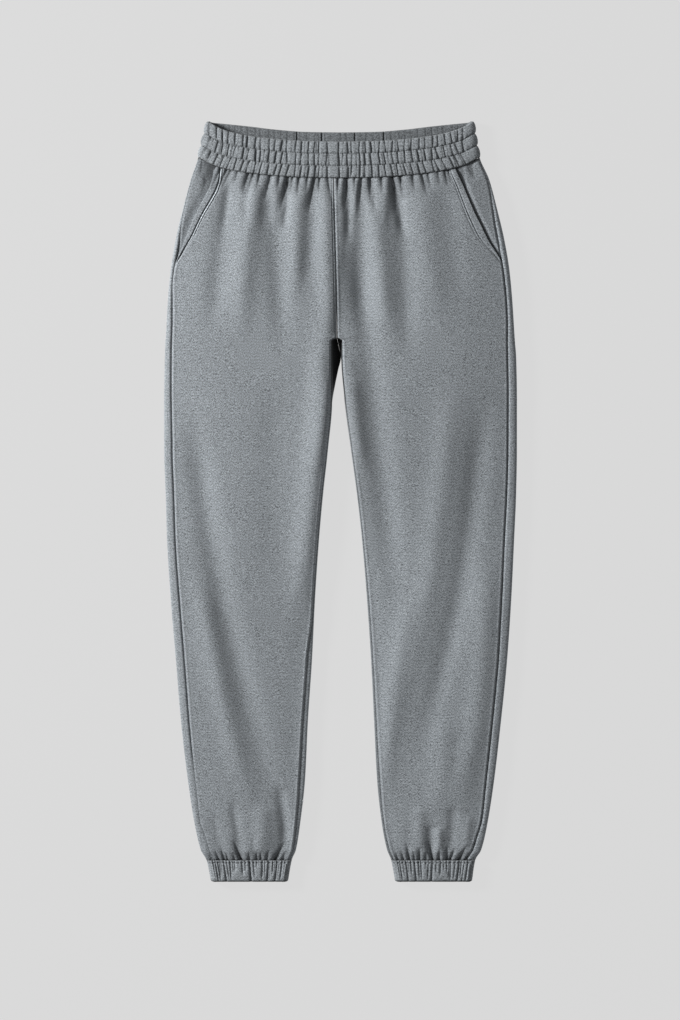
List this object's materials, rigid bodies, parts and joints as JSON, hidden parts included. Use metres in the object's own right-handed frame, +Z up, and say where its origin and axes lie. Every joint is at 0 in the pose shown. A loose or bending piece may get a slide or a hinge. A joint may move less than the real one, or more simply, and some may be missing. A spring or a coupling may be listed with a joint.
{
  "type": "jogger sweatpants",
  "caption": "Jogger sweatpants in marled fleece, laid flat: gathered elastic waistband, slanted side pockets, tapered legs and gathered elastic ankle cuffs.",
  "frame": {"origin": "centre of the bounding box, on the surface that the garment lies on", "axes": "+Z up out of the surface, +Y towards the waist, +X towards the wearer's left leg"},
  "size_m": [0.464, 1, 0.025],
  "materials": {
    "fleece": "cool grey marled fleece, matt, with a fine short streak and a soft nap",
    "casing": "the same marled cloth gathered over flat elastic, ribbed, a little darker in its creases"
  },
  "bodies": {
    "root": {"front_right": "fleece", "front_left": "fleece", "back_right": "fleece", "back_left": "fleece", "pocket_right": "fleece", "pocket_left": "fleece", "waistband_front": "casing", "waistband_back": "casing", "cuff_right": "casing", "cuff_left": "casing"}
  },
  "joints": []
}
